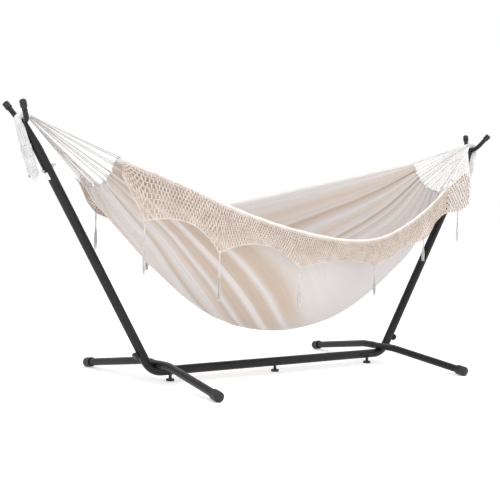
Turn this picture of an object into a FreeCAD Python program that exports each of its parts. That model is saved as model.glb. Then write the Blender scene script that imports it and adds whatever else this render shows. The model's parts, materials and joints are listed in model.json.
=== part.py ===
import FreeCAD, Part
import math
import os

# A cloth hammock with a crocheted fringe, slung between the forked posts of a
# knock-down tubular steel stand. Millimetres. X runs along the beam, +Z is up,
# and the origin is on the floor under the middle of the beam.

V = FreeCAD.Vector
SIDES = (("left", -1), ("right", 1))

# ---- Driving dimensions: steel tube and its joints ----
TUBE_R = 19.0
TUBE_WALL = 1.5
SLIDE_GAP = 0.08          # radial clearance of a swaged spigot in its tube
SPIGOT_HALF = 35.0        # a spigot reaches this far each side of its screw
SHOULDER = 6.0            # length of the ring where a tube steps down to its spigot

# ---- Beam, corners and posts ----
BEAM_Z = 44.0
CORNER_X = 635.0          # where a post's axis meets the beam's axis
CORNER_BEND_R = 90.0
BEAM_JOINT_X = 542.0      # screws that lock the corner pieces to the beam
POST_LEAN = 30.27         # degrees from the vertical
POST_LENGTH = 1130.0      # along the post, from the corner to the fork's bend
KNOB_AT = 96.0            # along the post, from the corner
POST_JOINT_FROM_TOP = 197.0
NECK_LENGTH = 108.0       # taper at the top of a post
NECK_R = 9.5

# ---- Fork ----
BAR_R = 10.0
FORK_R = 50.0
FORK_HALF_ANGLE = 60.0    # degrees of bend each side of the fork's bottom
PRONG_LENGTH = 62.0
TIP_CAP_R = 13.0
TIP_CAP_LENGTH = 27.0

# ---- Feet ----
FOOT_R = 16.0
FOOT_X = 613.0
FOOT_Z = 77.0
CROSSPIECE_REACH = 78.0   # half length of the tube that the feet slide on to
FOOT_START = 30.0         # the feet's inner ends, from the middle plane
FOOT_BEND_Y = 100.0
FOOT_BEND_R = 220.0
FOOT_END_X = 652.0
FOOT_END_Y = 508.0
FOOT_CAP_R = 21.0
FOOT_CAP_COVER = 36.0
FOOT_CAP_DOME = 12.0
FOOT_FLAT = 0.6           # worn off the cap where it stands

# ---- Screws, knobs and pads ----
SCREW_R = 4.0
THREAD_GAP = 0.06
HOLE_GAP = 0.3
NUT_AF = 13.0             # across flats
NUT_THICK = 6.5
KNOB_R = 15.0
KNOB_THICK = 12.0
KNOB_BOSS_R = 7.5
KNOB_OFF = 4.0            # length of the boss between the head and the tube
KNOB_LOBES = 8
STUD_BURIED = 9.0         # length of a stud moulded into its knob or pad
PAD_R = 17.0
PAD_THICK = 10.0
PAD_STEM_R = 6.5
BOLT_HEAD = 5.5
BOLT_TIP = 10.0
LABEL = (1.0, 26.0, 30.0)  # thickness, width round the tube, length
LABEL_BELOW = 9.0         # from the bolt's axis down to the label

# ---- Hammock ----
ROPE_R = 11.0             # the gathered strings where they lie in the fork
ROPE_GAP = 0.5
ROPE_LENGTH = 20.0        # straight, level stretch on the swing axis
BED_GAP = 122.0           # from the beam up to the lowest cloth
BED_HALF_WIDTH = 400.0
CLOTH = 4.0
STRINGS = 20
STRING_R = 1.2
STRING_BITE = 4.0         # how far a string goes into the cloth's end
LACE = 4.0
LACE_OFF = 5.0            # the lace hangs this far outside the cloth's edge
TASSEL_R = 4.0
TASSEL_BITE = 6.0

# ---- Whipped rope ends that hang outside the posts ----
WHIP_R = 17.5
ROPE_TAPER = 62.0
ROPE_BELOW = 38.0         # the rope's full-width stretch above its whipping
WHIP_LENGTH = 107.0
ROPE_CLEAR = 1.15         # between a rope end at its full width and the post's taper
LOOSE_END_R = 1.6
LOOSE_END_DROP = 18.0     # the cord end hangs this far, then turns up and outwards
LOOSE_END_UP = 38.0
LOOSE_END_BEND_R = 6.0

# The cloth's two edges and its lowest line, as rounded values along the bed:
# x as a share of the half span, y as a share of the half width, and the drop
# below the swing axis as a share of the deepest drop.
NEAR_EDGE = (
    (-0.785, -0.49, 0.174), (-0.646, -0.86, 0.264), (-0.477, -1.00, 0.367),
    (-0.248, -1.00, 0.460), (0.030, -1.00, 0.525), (0.238, -0.88, 0.516),
    (0.467, -0.62, 0.439), (0.616, -0.50, 0.349), (0.775, -0.29, 0.252),
)
FAR_EDGE = (
    (-0.785, 0.26, 0.253), (-0.636, 0.62, 0.336), (-0.427, 0.86, 0.403),
    (-0.199, 0.98, 0.412), (0.000, 1.00, 0.372), (0.169, 0.99, 0.330),
    (0.338, 0.88, 0.275), (0.566, 0.74, 0.204), (0.725, 0.42, 0.137),
    (0.775, 0.26, 0.115),
)
LOW_LINE = (
    (-0.785, -0.06, 0.306), (-0.725, -0.07, 0.412), (-0.646, -0.07, 0.495),
    (-0.576, -0.07, 0.591), (-0.487, -0.07, 0.719), (-0.367, -0.07, 0.855),
    (-0.238, -0.07, 0.954), (-0.030, -0.07, 1.000), (0.179, -0.07, 0.959),
    (0.328, -0.07, 0.879), (0.477, -0.08, 0.753), (0.586, -0.10, 0.640),
    (0.675, -0.14, 0.508), (0.775, -0.19, 0.277),
)
# how far up each side of the bed the cloth has risen, from the low line out
RISE = ((0.5, 0.21), (0.82, 0.62), (1.0, 1.0))

# Fringe points: place along the half span, depth below the edge, tassel length, and
# the depth midway to the next point, as a share of their mean depth.
NEAR_POINTS = (
    (-0.715, 190.0, 200.0, 0.69), (-0.496, 190.0, 185.0, 0.57), (-0.171, 145.0, 170.0, 0.66),
    (0.199, 112.0, 130.0, 0.80), (0.561, 125.0, 95.0, 0.72), (0.820, 168.0, 140.0, 0.0),
)
FAR_POINTS = (
    (-0.645, 75.0, 155.0, 0.72), (-0.372, 165.0, 90.0, 0.72), (-0.02, 175.0, 150.0, 0.72),
    (0.318, 165.0, 150.0, 0.72), (0.616, 150.0, 150.0, 0.0),
)
# the near fringe is longer than the cloth, and ends on the outer strings
NEAR_FLAP = ((0.844, -0.38, 0.156), (0.879, -0.38, 0.188))
FLAP_CORNER = (0.866, 0.339)

# ---- Worked out ----
LEAN = math.radians(POST_LEAN)
INNER_R = TUBE_R - TUBE_WALL
SPIGOT_R = INNER_R - SLIDE_GAP
SPIGOT_INNER_R = SPIGOT_R - TUBE_WALL
POST_JOINT_AT = POST_LENGTH - POST_JOINT_FROM_TOP
FORK_X = CORNER_X + POST_LENGTH * math.sin(LEAN)
FORK_Z = BEAM_Z + POST_LENGTH * math.cos(LEAN)
SWING_Z = FORK_Z + BAR_R + ROPE_R + ROPE_GAP
HALF_SPAN = FORK_X - ROPE_LENGTH
DEPTH = SWING_Z - (BEAM_Z + TUBE_R + BED_GAP)
BED_END = NEAR_EDGE[-1][0]
ROPE_TURN_R = BAR_R + ROPE_GAP + ROPE_R
HANG_OUT = NECK_R + (TUBE_R - NECK_R) * ROPE_TAPER / NECK_LENGTH + WHIP_R + ROPE_CLEAR
ROPE_LEAN = (LEAN - math.atan2(ROPE_TAPER, ROPE_TURN_R)
             + math.acos(HANG_OUT / math.hypot(ROPE_TAPER, ROPE_TURN_R)))
FOOT_END_Z = FOOT_CAP_R - FOOT_FLAT
FLOOR = Part.makeBox(4000, 4000, 400, V(-2000, -2000, -400))


def post_dir(side):
    return V(side * math.sin(LEAN), 0, math.cos(LEAN))


def outward(side):
    """Square to the post, away from the stand's middle."""
    return V(side * math.cos(LEAN), 0, -math.sin(LEAN))


def on_post(side, along, out=0.0):
    corner = V(side * CORNER_X, 0, BEAM_Z)
    return corner + post_dir(side) * along + outward(side) * out


def rod(start, direction, r, length):
    return Part.makeCylinder(r, length, start, direction)


def pipe(start, direction, r_out, r_in, length):
    return rod(start, direction, r_out, length).cut(rod(start, direction, r_in, length))


def swept(path, r):
    """A round bar along a wire of lines and arcs, capped at both ends."""
    edge = path.Edges[0]
    start = edge.valueAt(edge.FirstParameter)
    direction = edge.tangentAt(edge.FirstParameter)
    ring = Part.Wire([Part.makeCircle(r, start, direction)])
    return path.makePipeShell([ring], True, False)


def bend(a, corner, b, radius):
    """Wire from a to b with a tangent arc at the corner. Returns the wire and its bend's ends."""
    to_a, to_b = (a - corner).normalize(), (b - corner).normalize()
    half = to_a.getAngle(to_b) / 2
    reach = radius / math.tan(half)
    first, last = corner + to_a * reach, corner + to_b * reach
    middle = corner + (to_a + to_b).normalize() * (radius / math.sin(half) - radius)
    edges = [
        Part.LineSegment(a, first).toShape(),
        Part.Arc(first, middle, last).toShape(),
        Part.LineSegment(last, b).toShape(),
    ]
    return Part.Wire(edges), first, last


def spigot(start, direction, length):
    """The stepped-down end of a tube: starts at the tube's mouth and points out of it."""
    root = start - direction * SHOULDER
    sleeve = pipe(root, direction, SPIGOT_R, SPIGOT_INNER_R, length + SHOULDER)
    ring = pipe(root, direction, INNER_R + 0.2, SPIGOT_INNER_R, SHOULDER)
    return sleeve.fuse(ring)


def screw_hole(point, direction):
    """A hole for a screw through one wall, from the tube's axis outwards."""
    return rod(point, direction, SCREW_R + HOLE_GAP, TUBE_R + 5)


def hex_prism(point, direction, across, length):
    corner_r = across / math.sqrt(3)
    ring = [V(corner_r * math.cos(a), corner_r * math.sin(a), 0)
            for a in (math.radians(60 * i) for i in range(7))]
    prism = Part.Face(Part.makePolygon(ring)).extrude(V(0, 0, length))
    prism.Placement = FreeCAD.Placement(point, FreeCAD.Rotation(V(0, 0, 1), direction))
    return prism


def weld_nut(axis_point, screw_dir, tube_dir):
    """A nut welded inside a spigot. Its outer end is rounded to fit the wall."""
    r_top = SPIGOT_INNER_R
    block = hex_prism(axis_point + screw_dir * (r_top - NUT_THICK), screw_dir, NUT_AF, NUT_THICK)
    bore = rod(axis_point - tube_dir * 30, tube_dir, r_top, 60)
    hole = rod(axis_point, screw_dir, SCREW_R + THREAD_GAP, r_top + 5)
    return block.common(bore).cut(hole)


# ---- Stand ----
def corner_outer(side):
    """The corner piece's outer skin, as a solid bar."""
    mouth = V(side * (BEAM_JOINT_X + SPIGOT_HALF), 0, BEAM_Z)
    top = on_post(side, KNOB_AT + SPIGOT_HALF)
    wire, _, _ = bend(mouth, V(side * CORNER_X, 0, BEAM_Z), top, CORNER_BEND_R)
    return wire, swept(wire, TUBE_R)


def corner(side):
    wire, skin = corner_outer(side)
    tube = skin.cut(swept(wire, INNER_R))
    mouth = V(side * (BEAM_JOINT_X + SPIGOT_HALF), 0, BEAM_Z)
    tube = tube.fuse(spigot(mouth, V(-side, 0, 0), 2 * SPIGOT_HALF))
    tube = tube.cut(screw_hole(on_post(side, KNOB_AT), outward(side)))
    return tube.cut(screw_hole(V(side * BEAM_JOINT_X, 0, BEAM_Z), V(0, 0, -1)))


def beam(side):
    """Half of the beam. The right half has the spigot at the middle joint."""
    end = side * (BEAM_JOINT_X + SPIGOT_HALF)
    length = abs(end - SPIGOT_HALF)
    start = V(min(end, SPIGOT_HALF), 0, BEAM_Z)
    tube = pipe(start, V(1, 0, 0), TUBE_R, INNER_R, length)
    if side > 0:
        tube = tube.fuse(spigot(V(SPIGOT_HALF, 0, BEAM_Z), V(-1, 0, 0), 2 * SPIGOT_HALF))
    for x in (0.0, side * BEAM_JOINT_X):
        tube = tube.cut(screw_hole(V(x, 0, BEAM_Z), V(0, 0, -1)))
    return tube


def post_lower(side):
    low, high = KNOB_AT + SPIGOT_HALF, POST_JOINT_AT + SPIGOT_HALF
    tube = pipe(on_post(side, low), post_dir(side), TUBE_R, INNER_R, high - low)
    tube = tube.fuse(spigot(on_post(side, low), post_dir(side) * -1, 2 * SPIGOT_HALF))
    tube = tube.cut(screw_hole(on_post(side, KNOB_AT), outward(side)))
    return tube.cut(bolt_hole(side))


def bolt_hole(side):
    start = on_post(side, POST_JOINT_AT, -TUBE_R - 5)
    return rod(start, outward(side), SCREW_R + HOLE_GAP, 2 * TUBE_R + 10)


def post_upper(side):
    low = POST_JOINT_AT + SPIGOT_HALF
    taper = POST_LENGTH - NECK_LENGTH
    direction = post_dir(side)
    straight = rod(on_post(side, low), direction, TUBE_R, taper - low)
    hollow = rod(on_post(side, low), direction, INNER_R, taper - low)
    cone = Part.makeCone(TUBE_R, NECK_R, NECK_LENGTH, on_post(side, taper), direction)
    inside = Part.makeCone(INNER_R, NECK_R - TUBE_WALL, NECK_LENGTH - 12,
                           on_post(side, taper), direction)
    tube = straight.fuse(cone).cut(hollow.fuse(inside))
    tube = tube.fuse(spigot(on_post(side, low), direction * -1, 2 * SPIGOT_HALF))
    return tube.cut(bolt_hole(side)).cut(fork_bar(side))


def fork_point(side, across, along):
    return on_post(side, POST_LENGTH + along) + V(0, across, 0)


def fork_path(side):
    """The fork's centre line: an arc with a straight, flared prong at each end."""
    a = math.radians(FORK_HALF_ANGLE)
    arc_y, arc_up = FORK_R * math.sin(a), FORK_R * (1 - math.cos(a))
    tip_y, tip_up = arc_y + PRONG_LENGTH * math.cos(a), arc_up + PRONG_LENGTH * math.sin(a)
    near_tip, near = fork_point(side, -tip_y, tip_up), fork_point(side, -arc_y, arc_up)
    far_tip, far = fork_point(side, tip_y, tip_up), fork_point(side, arc_y, arc_up)
    edges = [
        Part.LineSegment(near_tip, near).toShape(),
        Part.Arc(near, fork_point(side, 0, 0), far).toShape(),
        Part.LineSegment(far, far_tip).toShape(),
    ]
    return Part.Wire(edges), ((near_tip, near), (far_tip, far))


def fork_bar(side):
    return swept(fork_path(side)[0], BAR_R)


def domed(start, direction, r, length, dome):
    """A round plug with a domed end, the dome's rise included in its length."""
    body = rod(start, direction, r, length)
    return body.makeFillet(dome, [body.Edges[i] for i, e in enumerate(body.Edges)
                                  if is_rim(e, start + direction * length)])


def is_rim(edge, centre):
    return isinstance(edge.Curve, Part.Circle) and edge.Curve.Center.isEqual(centre, 1e-6)


def tip_cap(side, which):
    tip, root = fork_path(side)[1][which]
    out = (tip - root).normalize()
    cover = TIP_CAP_LENGTH - 5
    plug = domed(tip - out * cover, out, TIP_CAP_R, TIP_CAP_LENGTH, 4.0)
    return plug.cut(rod(tip - out * cover, out, BAR_R + 0.02, cover + 0.02))


# ---- Feet ----
def crosspiece(side):
    start = V(side * FOOT_X, -CROSSPIECE_REACH, FOOT_Z)
    r = FOOT_R - TUBE_WALL - SLIDE_GAP
    tube = pipe(start, V(0, 1, 0), r, r - TUBE_WALL, 2 * CROSSPIECE_REACH)
    return tube.cut(corner_outer(side)[1])


def foot_route(side, way):
    start = V(side * FOOT_X, way * FOOT_START, FOOT_Z)
    corner_at = V(side * FOOT_X, way * FOOT_BEND_Y, FOOT_Z)
    end = V(side * FOOT_END_X, way * FOOT_END_Y, FOOT_END_Z)
    return bend(start, corner_at, end, FOOT_BEND_R)


def foot(side, way):
    wire = foot_route(side, way)[0]
    return swept(wire, FOOT_R).cut(swept(wire, FOOT_R - TUBE_WALL))


def foot_cap(side, way):
    """A domed shoe, with a small flat where it stands on the floor."""
    _, _, bend_end = foot_route(side, way)
    end = V(side * FOOT_END_X, way * FOOT_END_Y, FOOT_END_Z)
    out = (end - bend_end).normalize()
    start = end - out * FOOT_CAP_COVER
    length = FOOT_CAP_COVER + FOOT_CAP_DOME
    cap = domed(start, out, FOOT_CAP_R, length, FOOT_CAP_DOME)
    return cap.cut(rod(start, out, FOOT_R + 0.02, FOOT_CAP_COVER + 0.02)).cut(FLOOR)


# ---- Screws, knobs and pads ----
def lobed_head(start, direction):
    head = rod(start, direction, KNOB_R, KNOB_THICK)
    for i in range(KNOB_LOBES):
        a = 2 * math.pi * i / KNOB_LOBES
        groove = Part.makeCylinder(3.2, KNOB_THICK + 2, V(
            (KNOB_R + 1.4) * math.cos(a), (KNOB_R + 1.4) * math.sin(a), -1))
        groove.Placement = FreeCAD.Placement(
            start, FreeCAD.Rotation(V(0, 0, 1), direction))
        head = head.cut(groove)
    return head


def post_knob(side):
    out = outward(side)
    base = TUBE_R + 0.4
    head = lobed_head(on_post(side, KNOB_AT, base + KNOB_OFF), out)
    boss = rod(on_post(side, KNOB_AT, base), out, KNOB_BOSS_R, KNOB_OFF)
    stud = post_knob_stud(side)
    return head.fuse(boss).cut(stud)


def post_knob_stud(side):
    inner, outer = SPIGOT_INNER_R - NUT_THICK - 2, TUBE_R + KNOB_OFF + STUD_BURIED
    return rod(on_post(side, KNOB_AT, inner), outward(side), SCREW_R, outer - inner)


def pad(x):
    """A levelling pad under one of the beam's joints."""
    disc = Part.makeCylinder(PAD_R, PAD_THICK, V(x, 0, 0))
    top = BEAM_Z - TUBE_R - 0.4
    stem = Part.makeCylinder(PAD_STEM_R, top - PAD_THICK, V(x, 0, PAD_THICK))
    rounded = disc.makeFillet(2.0, [e for e in disc.Edges if is_rim(e, V(x, 0, PAD_THICK))])
    return rounded.fuse(stem).cut(pad_stud(x))


def pad_stud(x):
    low, high = BEAM_Z - TUBE_R - STUD_BURIED, BEAM_Z - SPIGOT_INNER_R + NUT_THICK + 2
    return Part.makeCylinder(SCREW_R, high - low, V(x, 0, low))


def weld_nuts():
    nuts = [weld_nut(V(x, 0, BEAM_Z), V(0, 0, -1), V(1, 0, 0))
            for x in (-BEAM_JOINT_X, 0, BEAM_JOINT_X)]
    nuts += [weld_nut(on_post(s, KNOB_AT), outward(s), post_dir(s)) for _, s in SIDES]
    return Part.makeCompound(nuts)


def post_bolt(side):
    out = outward(side)
    shank_start = on_post(side, POST_JOINT_AT, -TUBE_R - NUT_THICK - BOLT_TIP)
    shank = rod(shank_start, out, SCREW_R, 2 * TUBE_R + NUT_THICK + BOLT_TIP + 1)
    head = hex_prism(on_post(side, POST_JOINT_AT, TUBE_R + 0.05), out, NUT_AF, BOLT_HEAD)
    return shank.fuse(head)


def post_nut(side):
    """The nut on the inner side, with a collar rounded to sit on the tube."""
    out = outward(side)
    start = on_post(side, POST_JOINT_AT, -TUBE_R - NUT_THICK - 0.5)
    block = hex_prism(start, out, NUT_AF, NUT_THICK + 3)
    tube = rod(on_post(side, POST_JOINT_AT - 30), post_dir(side), TUBE_R + 0.05, 60)
    return block.cut(tube).cut(rod(start - out, out, SCREW_R + THREAD_GAP, 20))


def label(side):
    """A blank sticker bent round the outer face of the lower post, under its bolt."""
    thick, width, length = LABEL
    at = POST_JOINT_AT - LABEL_BELOW - length
    skin = pipe(on_post(side, at), post_dir(side), TUBE_R + thick, TUBE_R + 0.02, length)
    block = Part.makeBox(TUBE_R + thick + 1, width, length, V(0, -width / 2, 0))
    turn = FreeCAD.Rotation(outward(side), V(0, 1, 0), post_dir(side), "XZY")
    block.Placement = FreeCAD.Placement(on_post(side, at), turn)
    return skin.common(block)


# ---- Hammock ----
def smooth(points, x):
    """The values at x on a smooth line through points, each (x, value, value, ...)."""
    last = len(points) - 1
    i = max(k for k in range(last) if points[k][0] <= x or k == 0)
    a, b = points[i], points[i + 1]
    before, after = points[max(i - 1, 0)], points[min(i + 2, last)]
    t = min(max((x - a[0]) / (b[0] - a[0]), 0.0), 1.0)
    values = []
    for k in range(1, len(a)):
        slope_a = (b[k] - before[k]) / (b[0] - before[0]) * (b[0] - a[0])
        slope_b = (after[k] - a[k]) / (after[0] - a[0]) * (b[0] - a[0])
        values.append(
            (2 * t**3 - 3 * t**2 + 1) * a[k] + (t**3 - 2 * t**2 + t) * slope_a
            + (3 * t**2 - 2 * t**3) * b[k] + (t**3 - t**2) * slope_b)
    return values


def guide(points, share):
    """A point of a guide line, in the row's frame."""
    y, drop = smooth(points, share)
    return V(share * HALF_SPAN, y * BED_HALF_WIDTH, SWING_Z - drop * DEPTH)


def section(share, off=0.0):
    """The cloth across the bed at one place, from the near edge down and up to the far edge."""
    near, low, far = (guide(g, share) for g in (NEAR_EDGE, LOW_LINE, FAR_EDGE))
    points = [low]
    for out, rise in RISE:
        points.insert(0, V(low.x, low.y + (near.y - low.y) * out,
                           low.z + (near.z - low.z) * rise))
        points.append(V(low.x, low.y + (far.y - low.y) * out,
                        low.z + (far.z - low.z) * rise))
    if not off:
        return points
    moved = []
    for i, p in enumerate(points):
        along = points[min(i + 1, len(points) - 1)] - points[max(i - 1, 0)]
        moved.append(p + V(0, -along.z, along.y).normalize() * off)
    return moved


def section_curve(share, off=0.0):
    curve = Part.BSplineCurve()
    curve.interpolate(Points=section(share, off), Parameters=[0, 0.13, 0.3, 0.5, 0.7, 0.87, 1])
    return curve


def section_wire(share):
    inner, outer = section_curve(share, CLOTH / 2), section_curve(share, -CLOTH / 2)
    return Part.Wire([
        outer.toShape(),
        Part.LineSegment(outer.EndPoint, inner.EndPoint).toShape(),
        inner.toShape(),
        Part.LineSegment(inner.StartPoint, outer.StartPoint).toShape(),
    ])


def bed_stations():
    start, count = NEAR_EDGE[0][0], 16
    return [start + (BED_END - start) * i / count for i in range(count + 1)]


def bed():
    return Part.makeLoft([section_wire(s) for s in bed_stations()], True, True)


def strings(side):
    """Fine cords from the cloth's end to the gathered rope, cut flat where they meet it."""
    share = BED_END if side > 0 else NEAR_EDGE[0][0]
    curve = section_curve(share)
    face = V(side * HALF_SPAN, 0, SWING_Z)
    beyond = Part.makeBox(200, 200, 200, face + V(min(side, 0) * 200, -100, -100))
    ring_r = ROPE_R - 2 * STRING_R
    cords = []
    for i in range(STRINGS):
        start = curve.value(0.02 + 0.96 * i / (STRINGS - 1))
        angle = math.pi * (1.5 - 2 * (i + 0.5) / STRINGS)
        end = face + V(0, ring_r * math.cos(angle), ring_r * math.sin(angle))
        way = (end - start).normalize()
        start = start - way * STRING_BITE
        cords.append(rod(start, way, STRING_R, (end - start).Length + 12).cut(beyond))
    return Part.makeCompound(cords)


def rope(side):
    return rod(V(side * HALF_SPAN, 0, SWING_Z), V(side, 0, 0), ROPE_R, ROPE_LENGTH)


# ---- Fringe ----
def lace_line(way):
    """The fringe's top line, as points (x, y, z)."""
    edge = [guide(NEAR_EDGE if way < 0 else FAR_EDGE, s) for s in bed_stations()]
    if way < 0:
        edge += [V(s * HALF_SPAN, y * BED_HALF_WIDTH, SWING_Z - d * DEPTH)
                 for s, y, d in NEAR_FLAP]
    return [(p.x, p.y + way * LACE_OFF, p.z) for p in edge]


def lace_points(way):
    """The fringe's lowest points, each with its depth, tassel length and arch."""
    line = lace_line(way)
    found = []
    for share, depth, tassel, arch in (NEAR_POINTS if way < 0 else FAR_POINTS):
        y, z = smooth(line, share * HALF_SPAN)
        found.append((V(share * HALF_SPAN, y, z - depth), depth, tassel, arch))
    return found


def lace(way):
    """A thin wall that follows the edge in plan, cut to a scalloped outline."""
    line, tips = lace_line(way), lace_points(way)
    top = [V(x, 0, z) for x, y, z in line]
    lows = [V(tip[0].x, 0, tip[0].z) for tip in tips]
    right = [top[-1], lows[-1]]
    if way < 0:
        share, drop = FLAP_CORNER
        right.insert(1, V(share * HALF_SPAN, 0, SWING_Z - drop * DEPTH))
    edges = list(Part.makePolygon(top).Edges) + list(Part.makePolygon(right).Edges)
    for (a, deep_a, _, arch), (b, deep_b, _, _) in reversed(list(zip(tips, tips[1:]))):
        x = (a.x + b.x) / 2
        z = smooth(line, x)[1] - arch * (deep_a + deep_b) / 2
        edges.append(Part.Arc(V(b.x, 0, b.z), V(x, 0, z), V(a.x, 0, a.z)).toShape())
    edges.append(Part.LineSegment(lows[0], top[0]).toShape())
    outline = Part.Face(Part.Wire(edges))
    slab = outline.extrude(V(0, 2000, 0))
    slab.translate(V(0, -1000, 0))
    return slab.common(lace_wall(line, way))


def lace_wall(line, way):
    plan = [V(x, y, 0) for x, y, z in line]
    first, last = plan[0], plan[-1]
    plan[0] = first + (first - plan[1]).normalize() * 5
    plan[-1] = last + (last - plan[-2]).normalize() * 5
    inner = [p - V(0, way * LACE / 2, 0) for p in plan]
    outer = [p + V(0, way * LACE / 2, 0) for p in plan]
    face = Part.Face(Part.makePolygon(inner + outer[::-1] + [inner[0]]))
    return face.extrude(V(0, 0, 1500))


def tassels(way):
    hung = []
    for tip, _, length, _ in lace_points(way):
        hung.append(Part.makeCone(TASSEL_R * 0.6, TASSEL_R, length + TASSEL_BITE,
                                  tip + V(0, 0, TASSEL_BITE), V(0, 0, -1)))
    return Part.makeCompound(hung)


# ---- Rope ends outside the posts ----
def rope_end_route(side):
    """The rope over the fork's bar and down: the arc's start, middle and end, and the way down."""
    centre = V(side * FORK_X, 0, FORK_Z)
    turn = math.pi / 2 + ROPE_LEAN
    start, middle, end = (
        centre + V(side * ROPE_TURN_R * math.sin(a), 0, ROPE_TURN_R * math.cos(a))
        for a in (0, turn / 2, turn))
    return start, middle, end, V(-side * math.sin(ROPE_LEAN), 0, -math.cos(ROPE_LEAN))


def rope_end(side):
    start, middle, end, down = rope_end_route(side)
    over = swept(Part.Wire([Part.Arc(start, middle, end).toShape()]), ROPE_R)
    cone = Part.makeCone(ROPE_R, WHIP_R, ROPE_TAPER, end, down)
    return over.fuse(cone).fuse(rod(end + down * ROPE_TAPER, down, WHIP_R, ROPE_BELOW))


def whipping(side):
    _, _, end, down = rope_end_route(side)
    return domed(end + down * (ROPE_TAPER + ROPE_BELOW), down, WHIP_R, WHIP_LENGTH, 10.0)


def loose_end(side):
    """The whipping's loose cord end, under the whipped part."""
    _, _, end, down = rope_end_route(side)
    start = end + down * (ROPE_TAPER + ROPE_BELOW + WHIP_LENGTH) + V(-side * 3, 0, 1)
    low = start + down * LOOSE_END_DROP
    tip = low + V(side * math.cos(math.radians(30)), 0, 0.5) * LOOSE_END_UP
    return swept(bend(start, low, tip, LOOSE_END_BEND_R)[0], LOOSE_END_R)


def parts():
    made = {"bed_cloth": bed(), "weld_nuts": weld_nuts()}
    for name, side in SIDES:
        made["beam_" + name] = beam(side)
        made["corner_" + name] = corner(side)
        made["post_lower_" + name] = post_lower(side)
        made["post_upper_" + name] = post_upper(side)
        made["fork_" + name] = fork_bar(side)
        made["foot_crosspiece_" + name] = crosspiece(side)
        made["post_knob_" + name] = post_knob(side)
        made["post_knob_stud_" + name] = post_knob_stud(side)
        made["post_bolt_" + name] = post_bolt(side)
        made["post_nut_" + name] = post_nut(side)
        made["strings_" + name] = strings(side)
        made["gathered_rope_" + name] = rope(side)
        made["rope_end_" + name] = rope_end(side)
        made["rope_whipping_" + name] = whipping(side)
        made["whipping_end_" + name] = loose_end(side)
        for which, way_name, way in ((0, "near", -1), (1, "far", 1)):
            made["fork_cap_" + name + "_" + way_name] = tip_cap(side, which)
            made["foot_" + name + "_" + way_name] = foot(side, way)
            made["foot_cap_" + name + "_" + way_name] = foot_cap(side, way)
    for name, way in (("near", -1), ("far", 1)):
        made["lace_" + name] = lace(way)
        made["tassels_" + name] = tassels(way)
    for name, x in (("left", -BEAM_JOINT_X), ("middle", 0), ("right", BEAM_JOINT_X)):
        made["beam_pad_" + name] = pad(x)
        made["beam_pad_stud_" + name] = pad_stud(x)
    made["label_left"] = label(-1)
    return made


os.makedirs("parts", exist_ok=True)
for node, shape in parts().items():
    shape.exportStep("parts/" + node + ".step")
print("swing axis z", round(SWING_Z, 2), "fork x", round(FORK_X, 2), "half span", round(HALF_SPAN, 2))
for point in rope_end_route(1):
    print("rope end route", [round(c, 4) for c in (point.x, point.y, point.z)])
print("rope end radius", ROPE_TURN_R)
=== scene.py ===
import json
import math
import random

import bpy
import numpy as np
from mathutils import Matrix, Vector


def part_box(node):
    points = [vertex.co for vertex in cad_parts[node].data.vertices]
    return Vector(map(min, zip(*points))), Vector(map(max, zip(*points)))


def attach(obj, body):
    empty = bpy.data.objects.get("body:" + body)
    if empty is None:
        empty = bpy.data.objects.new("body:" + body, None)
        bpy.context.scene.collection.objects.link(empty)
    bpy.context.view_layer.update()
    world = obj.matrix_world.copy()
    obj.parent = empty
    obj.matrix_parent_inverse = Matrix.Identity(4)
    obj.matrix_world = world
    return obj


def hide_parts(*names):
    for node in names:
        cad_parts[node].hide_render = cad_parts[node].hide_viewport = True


# The looks of a fringed cloth hammock on a tubular steel stand. Metres, in the
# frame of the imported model.

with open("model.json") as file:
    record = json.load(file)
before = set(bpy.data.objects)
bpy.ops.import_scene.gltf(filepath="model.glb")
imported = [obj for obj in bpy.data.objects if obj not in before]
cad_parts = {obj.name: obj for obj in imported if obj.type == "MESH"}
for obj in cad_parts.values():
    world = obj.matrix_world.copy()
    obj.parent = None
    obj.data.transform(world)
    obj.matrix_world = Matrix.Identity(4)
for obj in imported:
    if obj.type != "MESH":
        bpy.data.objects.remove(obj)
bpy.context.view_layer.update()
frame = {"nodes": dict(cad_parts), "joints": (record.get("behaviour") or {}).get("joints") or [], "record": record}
NODES = frame["nodes"]
RNG = random.Random(7)
SWING = next(Vector(j["pos_m"]) for j in frame["joints"] if j["name"] == "hammock_swing")
SIDES = (("left", -1), ("right", 1))

# ---------------------------------------------------------------- camera
CAMERA_AT = (-3.01837, -3.88933, 0.74288)
LOOKS_ALONG = Vector((0.59395, 0.80329, -0.04420))
CAMERA_UP = Vector((0.00920, 0.04816, 0.99880))


def make_camera():
    data = bpy.data.cameras.new("camera")
    data.lens, data.sensor_width = 81.25, 36.0
    data.shift_x, data.shift_y = -0.0024, 0.0023
    cam = bpy.data.objects.new("camera", data)
    bpy.context.scene.collection.objects.link(cam)
    back = -LOOKS_ALONG.normalized()
    right = CAMERA_UP.cross(back).normalized()
    up = back.cross(right)
    turn = Matrix((right, up, back)).transposed().to_4x4()
    cam.matrix_world = Matrix.Translation(CAMERA_AT) @ turn
    bpy.context.scene.camera = cam


make_camera()


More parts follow.
